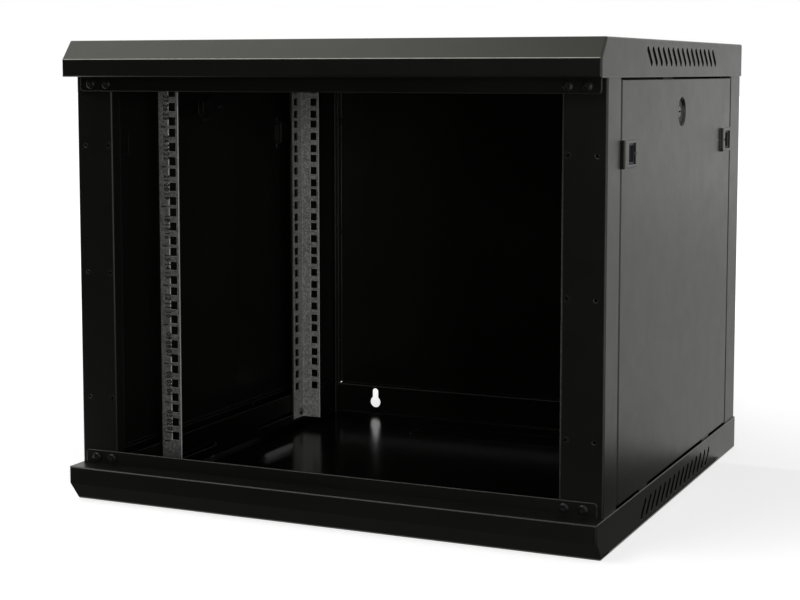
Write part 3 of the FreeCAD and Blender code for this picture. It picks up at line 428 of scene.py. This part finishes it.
def black_oxide():
    finish, tree, shader = new_finish("black_screws", Metallic=0.3, Specular_IOR_Level=0.35)
    rounded, edge = rounded_edges(tree, 0.0003)
    mottle = grain(tree, 900.0, 3.0, 0.6)
    colour = ramp(tree, mottle, (0.0025, 0.0025, 0.0025), (0.0060, 0.0060, 0.0058), 0.3, 0.7)
    lay_on(tree, shader, mixed(tree, edge, colour, (0.05, 0.05, 0.048, 1.0)),
           ramp(tree, mottle, 0.28, 0.42, 0.3, 0.7), bumped(tree, mottle, 0.15, 0.0001, rounded))
    return finish


def zinc_plate():
    finish, tree, shader = new_finish("zinc_plate", Metallic=1.0)
    mottle = grain(tree, 700.0, 4.0, 0.65)
    lay_on(tree, shader, ramp(tree, mottle, (0.34, 0.34, 0.33), (0.58, 0.58, 0.55), 0.3, 0.7),
           ramp(tree, mottle, 0.24, 0.42, 0.3, 0.7),
           bumped(tree, mottle, 0.2, 0.0001, rounded_edges(tree, 0.0003)[0]))
    return finish


def separate_solids(name):
    """Lowest and highest corner of each separate solid of a CAD node."""
    copy = bmesh.new()
    copy.from_mesh(nodes[name].data)
    bmesh.ops.remove_doubles(copy, verts=copy.verts, dist=1e-6)
    waiting = set(copy.verts)
    boxes = []
    while waiting:
        reached = [waiting.pop()]
        for corner in reached:
            for edge in corner.link_edges:
                other = edge.other_vert(corner)
                if other in waiting:
                    waiting.remove(other)
                    reached.append(other)
        places = [corner.co for corner in reached]
        boxes.append((Vector(map(min, zip(*places))), Vector(map(max, zip(*places)))))
    copy.free()
    return sorted(boxes, key=lambda box: tuple(box[0]))


def seats(name, places):
    """Starting mesh: a point at each seat, with the direction that the piece looks in."""
    start = bpy.data.meshes.new(name)
    start.from_pydata([place for place, aim in places], [], [])
    aims = start.attributes.new("aim", "FLOAT_VECTOR", "POINT")
    aims.data.foreach_set("vector", [value for place, aim in places for value in aim])
    return start


def on_seats(tree, points, shape):
    """Instance a shape on every seat, its +Z along the aim, turned about it at random."""
    aim = add_node(tree, "GeometryNodeInputNamedAttribute", {"Name": "aim"}, data_type="FLOAT_VECTOR")
    facing = add_node(tree, "FunctionNodeAlignRotationToVector", {"Vector": aim.outputs[0]}, axis="Z")
    turn = add_node(tree, "FunctionNodeRandomValue", {2: 0.0, 3: math.tau, "Seed": 5}, data_type="FLOAT")
    spin = add_node(tree, "FunctionNodeAxisAngleToRotation",
                    {"Axis": (0.0, 0.0, 1.0), "Angle": turn.outputs[1]})
    facing = add_node(tree, "FunctionNodeRotateRotation", {0: facing.outputs[0], 1: spin.outputs[0]},
                      rotation_space="LOCAL")
    return add_node(tree, "GeometryNodeInstanceOnPoints",
                    {"Points": points, "Instance": shape, "Rotation": facing.outputs[0]}).outputs[0]


def cylinder(tree, caps="NGON", **sizes):
    """Upright cylinder round the origin, with its inputs by name."""
    inputs = {name.replace("_", " "): value for name, value in sizes.items()}
    return add_node(tree, "GeometryNodeMeshCylinder", inputs, fill_type=caps).outputs["Mesh"]


def combined(tree, operation, shapes, body=None):
    """Union or intersection of some shapes, or a body with them cut away."""
    made = add_node(tree, "GeometryNodeMeshBoolean", {0: body} if body is not None else None,
                    operation=operation)
    for shape in shapes:
        tree.links.new(shape, made.inputs[1])
    return made.outputs[0]


def split_place(tree):
    """Radius round the Z axis, angle in turns, height, and the separate x and y of each point."""
    place = add_node(tree, "GeometryNodeInputPosition").outputs[0]
    x, y, z = add_node(tree, "ShaderNodeSeparateXYZ", {0: place}).outputs
    radius = work_out(tree, "SQRT", work_out(tree, "ADD", times(tree, x, x), times(tree, y, y)))
    return radius, work_out(tree, "DIVIDE", work_out(tree, "ARCTAN2", y, x), math.tau), z, x, y


def lifted(tree, shape, height):
    return add_node(tree, "GeometryNodeTransform",
                    {"Geometry": shape, "Translation": vector(tree, 0.0, 0.0, height)}).outputs[0]


crown_fall = 0.45            # how far a head falls off to its rim, as a share of its rise
shank_sunk = 0.15            # how far the shank reaches into the head, as a share of the same
thread_depth = 0.13          # as a share of the shank's radius
groove_length, groove_width, groove_depth = 1.1, 0.26, 0.4         # of the recess, as shares of the size


def pan_head_tree(name, finish):
    """Head above z = 0 with a cross recess, threaded shank below, one on every seat."""
    tree, size = new_tree(name, {"Size": 0.005, "Length": 0.012, "Pitch": 0.0008, "Head rise": 0.0031})
    radius, angle, height, x, y = split_place(tree)
    share = work_out(tree, "DIVIDE", radius, size["Size"])
    crown = work_out(tree, "SUBTRACT", 1.0, times(tree, crown_fall, work_out(tree, "POWER", share, 4.0)))
    crown = times(tree, crown, size["Head rise"], work_out(tree, "GREATER_THAN", height, 0.0))
    head = cylinder(tree, "TRIANGLE_FAN", Vertices=28, Side_Segments=1, Fill_Segments=5,
                    Radius=size["Size"], Depth=size["Head rise"])
    head = put_at(tree, head, vector(tree, x, y, crown))

    sunk = times(tree, size["Head rise"], shank_sunk)
    depth = work_out(tree, "ADD", size["Length"], sunk)
    rings = times(tree, work_out(tree, "DIVIDE", depth, size["Pitch"]), 4.0)
    shank = cylinder(tree, Vertices=12, Side_Segments=rings, Depth=depth,
                     Radius=times(tree, size["Size"], 0.5))
    turns = work_out(tree, "ADD", work_out(tree, "DIVIDE", height, size["Pitch"]), angle)
    ridge = work_out(tree, "PINGPONG", turns, 0.5)
    narrow = work_out(tree, "SUBTRACT", 1.0, times(tree, ridge, 2 * thread_depth))
    shank = put_at(tree, shank, vector(tree, times(tree, x, narrow), times(tree, y, narrow), height))
    shank = lifted(tree, shank, work_out(tree, "SUBTRACT", sunk, times(tree, depth, 0.5)))

    arm, groove, deep = (times(tree, size["Size"], part)
                         for part in (groove_length, groove_width, 2 * groove_depth))
    taper = work_out(tree, "MULTIPLY_ADD", work_out(tree, "DIVIDE", height, deep), 0.5, 0.75)
    tapered = vector(tree, times(tree, x, taper), times(tree, y, taper), height)
    arms = []
    for across, thick in ((arm, groove), (groove, arm)):
        bar = add_node(tree, "GeometryNodeMeshCube", {"Size": vector(tree, across, thick, deep)}).outputs[0]
        arms.append(lifted(tree, put_at(tree, bar, tapered), size["Head rise"]))
    whole = combined(tree, "UNION", (head, shank))
    close_tree(tree, on_seats(tree, size["Geometry"], combined(tree, "DIFFERENCE", arms, whole)), finish)
    return tree


def hex_nut_tree(name, finish):
    """Hexagon nut with its corners turned off at both faces, on a washer if that has a thickness."""
    tree, size = new_tree(name, {"Size": 0.006, "Flats": 0.010, "Rise": 0.0048, "Washer": 0.0})
    half_rise = times(tree, size["Rise"], 0.5)
    corners = work_out(tree, "DIVIDE", size["Flats"], math.sqrt(3))
    hexagon = cylinder(tree, Vertices=6, Radius=corners, Depth=size["Rise"])
    radius, angle, height, x, y = split_place(tree)
    slope = work_out(tree, "SUBTRACT", half_rise, work_out(tree, "ABSOLUTE", height))
    wide = work_out(tree, "MULTIPLY_ADD", slope, 2.0, times(tree, size["Flats"], 0.475))
    lens = cylinder(tree, Vertices=36, Side_Segments=3, Radius=1.0, Depth=size["Rise"])
    lens = put_at(tree, lens, vector(tree, times(tree, x, wide), times(tree, y, wide), height))
    turned = combined(tree, "INTERSECT", (hexagon, lens))
    bore = cylinder(tree, Vertices=24, Radius=times(tree, size["Size"], 0.51),
                    Depth=times(tree, size["Rise"], 4.0))
    nut = combined(tree, "DIFFERENCE", (bore,), turned)
    nut = lifted(tree, nut, work_out(tree, "ADD", size["Washer"], half_rise))

    disc = cylinder(tree, Vertices=36, Radius=size["Size"], Depth=size["Washer"])
    ring = combined(tree, "DIFFERENCE", (bore,), disc)
    ring = lifted(tree, ring, times(tree, size["Washer"], 0.5))
    there = add_node(tree, "FunctionNodeCompare", {0: size["Washer"], 1: 0.0}, operation="GREATER_THAN")
    ring = add_node(tree, "GeometryNodeSwitch", {"Switch": there.outputs[0], "True": ring},
                    input_type="GEOMETRY").outputs[0]
    close_tree(tree, on_seats(tree, size["Geometry"], joined(tree, nut, ring)), finish)
    return tree


def crease(piece, angle):
    """Smooth faces, sharp where they meet at more than an angle in degrees."""
    piece.data.shade_smooth()
    piece.data.set_sharp_from_angle(angle=math.radians(angle))


head_rise_share = 0.62       # rise of a pan head, as a share of the screw's size
nut_rise_share = 0.8
washer_share = 0.26
pitch_share = 0.16
flats_share, flats_extra = 1.6, 0.0004       # a nut's flats are this share of its size, and 0.4 mm
screw_crease, nut_crease = 35, 25
black, zinc = black_oxide(), zinc_plate()
black_screw, zinc_screw = pan_head_tree("black_pan_head", black), pan_head_tree("zinc_pan_head", zinc)
zinc_nut = hex_nut_tree("zinc_nut", zinc)


def place_piece(piece, body, node, angle):
    """Finish a piece that stands in for a CAD node and rides on a body."""
    crease(piece, angle)
    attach(piece, body)
    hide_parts(node)


def fit_screws(node, aims, tree):
    """Screws in place of the plain ones of a CAD node; aims gives a head direction for each solid."""
    places = []
    for low, high in separate_solids(node):
        aim = Vector(aims(low, high))
        along = abs((high - low).dot(aim))
        size = max(abs(side) for side, way in zip(high - low, aim) if way == 0) / 2
        rise = head_rise_share * size
        places.append(((low + high) / 2 + aim * (along / 2 - rise), aim))
    piece = grow(node + "_cut", seats(node + "_seats", places), tree,
                 {"Size": size, "Head rise": rise, "Length": along - rise, "Pitch": pitch_share * size})
    place_piece(piece, "frame", node, screw_crease)


def forwards(low, high):
    return 0, -1, 0


def inwards(low, high):
    return (1 if low.x < 0 else -1), 0, 0


def upwards(low, high):
    return 0, 0, 1


def downwards(low, high):
    return 0, 0, -1


fit_screws("front_bottom_strip_screws", forwards, black_screw)
fit_screws("front_top_strip_screws", forwards, black_screw)
fit_screws("back_panel_screws", inwards, black_screw)
fit_screws("top_cable_cover_screws", upwards, black_screw)
fit_screws("base_frame_bolts", downwards, zinc_screw)
fit_screws("top_frame_bolts", upwards, zinc_screw)

for node, up in (("base_frame_nuts", 1), ("top_frame_nuts", -1)):
    places = []
    for low, high in separate_solids(node):
        rise = high.z - low.z
        middle = (low + high) / 2
        places.append((Vector((middle.x, middle.y, low.z if up > 0 else high.z)), (0, 0, up)))
    nuts = grow(node + "_cut", seats(node + "_seats", places), zinc_nut,
                {"Size": rise / nut_rise_share, "Flats": flats_share / nut_rise_share * rise + flats_extra,
                 "Rise": rise, "Washer": 0.0})
    place_piece(nuts, "frame", node, nut_crease)

rail_bolt = 0.005
bolt_past_nut = 0.001
for rail in rails:
    node = rail + "_bolts"
    low, high = (Vector(corner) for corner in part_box(node))
    out = -1 if "left" in rail else 1
    y = (low.y + high.y) / 2
    heights = (low.z + rail_bolt, high.z - rail_bolt)
    head_x = (high.x if out < 0 else low.x) + out * head_rise_share * rail_bolt
    end_x = low.x if out < 0 else high.x
    washer_x = end_x - out * (bolt_past_nut + (nut_rise_share + washer_share) * rail_bolt)
    heads = seats(node + "_seats", [((head_x, y, z), (-out, 0, 0)) for z in heights])
    bolts = grow(node + "_cut", heads, zinc_screw,
                 {"Size": rail_bolt, "Head rise": head_rise_share * rail_bolt,
                  "Length": abs(end_x - head_x), "Pitch": pitch_share * rail_bolt})
    washers = seats(node + "_nut_seats", [((washer_x, y, z), (out, 0, 0)) for z in heights])
    nuts = grow(node + "_nuts", washers, zinc_nut,
                {"Size": rail_bolt, "Flats": flats_share * rail_bolt + flats_extra,
                 "Rise": nut_rise_share * rail_bolt, "Washer": washer_share * rail_bolt})
    place_piece(bolts, rail, node, screw_crease)
    place_piece(nuts, rail, node, nut_crease)


# ---- earth stud and threaded inserts ---------------------------------------------------------
# A zinc plated stud with its washer and nut stands inside the base behind the front edge, for the
# earth wire. Blackened steel inserts are pressed into the inner hole column of the front posts.

dress(zinc, "earth_stud")
dress(black, *(name for name in nodes if name.endswith("_inserts")))


# ---- side panels, latches and locks ----------------------------------------------------------
# Each coated side panel has two spring latches whose slides are moulded nylon, and a cam lock: a
# black moulded barrel with a dark nickel plug, and a blackened nut, cam and screw behind it.

def moulded_nylon():
    finish, tree, shader = new_finish("black_nylon", Metallic=0.0, Specular_IOR_Level=0.4)
    fine = grain(tree, 1800.0, 3.0, 0.6)
    lay_on(tree, shader, ramp(tree, grain(tree, 60.0), (0.004,) * 3, (0.008,) * 3, 0.3, 0.7),
           ramp(tree, fine, 0.50, 0.64, 0.3, 0.7),
           bumped(tree, fine, 0.25, 0.0001, rounded_edges(tree, 0.0004)[0]))
    return finish


def dark_nickel():
    finish, tree, shader = new_finish("dark_nickel", Metallic=1.0)
    brushed = grain(tree, 1500.0, 3.0, 0.6)
    lay_on(tree, shader, ramp(tree, brushed, (0.045, 0.045, 0.042), (0.08, 0.08, 0.076), 0.3, 0.7),
           ramp(tree, brushed, 0.26, 0.38, 0.3, 0.7),
           bumped(tree, brushed, 0.1, 0.0001, rounded_edges(tree, 0.0003)[0]))
    return finish


dress(moulded_nylon(), *(name for name in nodes if name.endswith(("_slider", "_lock_body"))))
dress(dark_nickel(), *(name for name in nodes if name.endswith("_lock_plug")))
dress(black, *(name for name in nodes if name.endswith(("_lock_nut", "_lock_cam", "_lock_cam_screw"))))


# ---- where it stands -------------------------------------------------------------------------
# A pale seamless floor with a large soft lamp overhead, a wide narrow one above the front and a
# low one that reaches inside. Cards that only reflections see set how light each side looks.

def stage_plane(name, corners, finish):
    mesh = bpy.data.meshes.new(name)
    mesh.from_pydata(corners, [], [tuple(range(len(corners)))])
    mesh.materials.append(finish)
    plane = bpy.data.objects.new(name, mesh)
    bpy.context.scene.collection.objects.link(plane)
    return plane


def seen_directly(tree):
    """1 on camera, mirror and see-through rays, 0 on rays that carry light to a surface."""
    rays = add_node(tree, "ShaderNodeLightPath").outputs
    seen = work_out(tree, "MAXIMUM", rays["Is Camera Ray"], rays["Is Glossy Ray"])
    return work_out(tree, "MAXIMUM", seen, rays["Is Transmission Ray"])


def glow(tree, strength):
    """White light of a strength."""
    return add_node(tree, "ShaderNodeEmission", {"Color": (1.0,) * 4, "Strength": strength}).outputs[0]


paper, tree, shader = new_finish("floor_paper", Base_Color=(0.8, 0.8, 0.8, 1.0), Roughness=0.9)
spot = add_node(tree, "ShaderNodeTexCoord").outputs["Object"]
away = add_node(tree, "ShaderNodeVectorMath", {0: spot}, operation="LENGTH").outputs["Value"]
whitening = times(tree, ramp(tree, away, low=0.62, high=1.0, start=0.45, end=1.5), seen_directly(tree))
both = add_node(tree, "ShaderNodeAddShader", {0: shader.outputs[0], 1: glow(tree, whitening)})
tree.links.new(both.outputs[0], tree.nodes["Material Output"].inputs["Surface"])
reach = 30
stage_plane("floor", [(-reach, -reach, 0), (reach, -reach, 0), (reach, reach, 0), (-reach, reach, 0)], paper)


def studio_card(name, tone, corners):
    """Card that only reflections see."""
    finish, tree, shader = new_finish(name)
    tree.links.new(glow(tree, tone), tree.nodes["Material Output"].inputs["Surface"])
    card = stage_plane(name, corners, finish)
    card.visible_camera = card.visible_diffuse = card.visible_transmission = card.visible_shadow = False


def lying_card(name, tone, height, *corners):
    studio_card(name, tone, [(x, y, height) for x, y in corners])


def facing_card(name, tone, y, left, right, low, high):
    """Upright card across the front or the back."""
    studio_card(name, tone, [(left, y, low), (right, y, low), (right, y, high), (left, y, high)])


# black round the front and the left, so the front faces stay dark
far_left, far_front, near_front = -9.0, -3.4, -0.5
card_foot, card_top = -0.2, 3.2
left_back = -0.35
facing_card("front_card", 0.0, far_front, far_left, 0.6, card_foot, card_top)
lying_card("front_floor_card", 0.0, 0.002, (far_left, far_front), (1.4, far_front), (0.42, near_front),
           (-0.6, near_front), (far_left, -0.8))
lying_card("near_floor_card", 0.08, 0.002, (-0.6, near_front), (0.6, near_front),
           (0.6, -0.24), (-0.29, -0.24))
studio_card("left_card", 0.0, [(far_left, y, z) for y, z in (
    (far_front, card_foot), (left_back, card_foot), (left_back, card_top), (far_front, card_top))])

# dark beside the front half of the right side and pale behind it, so the side lightens backwards
foot_front, foot_back = -0.26, 0.19
lying_card("side_floor_card", 0.0, 0.003, (0.25, foot_front), (2.2, foot_front),
           (2.2, foot_back), (0.25, foot_back))
lying_card("base_side_card", 0.08, 0.004, (0.29, foot_front), (0.36, foot_front), (0.36, 0.20), (0.29, 0.20))
lying_card("rear_floor_card", 0.70, 0.0025, (0.25, foot_back), (3.5, foot_back), (3.5, 4.0), (0.25, 4.0))
facing_card("rear_right_card", 0.6, 3.0, 1.5, 6.0, card_foot, 2.5)

# the wall behind the gap under the back panel and behind the two lower keyholes
wall_y = flange_back + 0.0015
facing_card("back_foot_card", 0.10, wall_y, -0.25, 0.25, 0.0375, 0.0425)
keyhole_x, keyhole_reach = 0.195, 0.009
for side, x in (("left", -keyhole_x), ("right", keyhole_x)):
    facing_card("keyhole_card_" + side, 0.65, wall_y, x - keyhole_reach, x + keyhole_reach, 0.008, 0.037)

world = bpy.data.worlds.new("studio")
bpy.context.scene.world = world
world.use_nodes = True
sky = world.node_tree
sky.nodes.clear()
brightness = ramp(sky, seen_directly(sky), low=0.22, high=1.0)
backdrop = add_node(sky, "ShaderNodeBackground", {"Color": (1.0,) * 4, "Strength": brightness})
add_node(sky, "ShaderNodeOutputWorld", {"Surface": backdrop.outputs[0]})


def softbox(name, place, target, size, power):
    lamp = bpy.data.lights.new(name, "AREA")
    lamp.shape = "RECTANGLE"
    lamp.size, lamp.size_y = size
    lamp.energy = power
    holder = bpy.data.objects.new(name, lamp)
    holder.location = place
    holder.rotation_euler = (Vector(target) - Vector(place)).to_track_quat("-Z", "Y").to_euler()
    bpy.context.scene.collection.objects.link(holder)
    return holder


softbox("overhead", place=(-1.55, -0.7, 2.4), target=(-1.55, -0.7, 0.0), size=(2.0, 1.8), power=15)
softbox("key", place=(-1.1, -1.9, 2.05), target=(0, -0.27, 0.45), size=(1.6, 0.4), power=14)
fill = softbox("fill", place=(2.0, -2.7, 0.62), target=(-0.25, 0.1, 0.25), size=(0.6, 0.7), power=75)
fill.visible_glossy = False

camera_data = bpy.data.cameras.new("camera")
camera_data.lens = 76.73
camera_data.sensor_width = 36.0
camera_data.shift_y = -0.08
camera = bpy.data.objects.new("camera", camera_data)
looks_down, turned_left = 5.517, 24.194      # degrees
camera.location = (0.7782, -1.8023, 0.4674)
camera.rotation_euler = (math.radians(90 - looks_down), 0, math.radians(turned_left))
bpy.context.scene.collection.objects.link(camera)
bpy.context.scene.camera = camera
bpy.context.scene.view_settings.view_transform = "Standard"
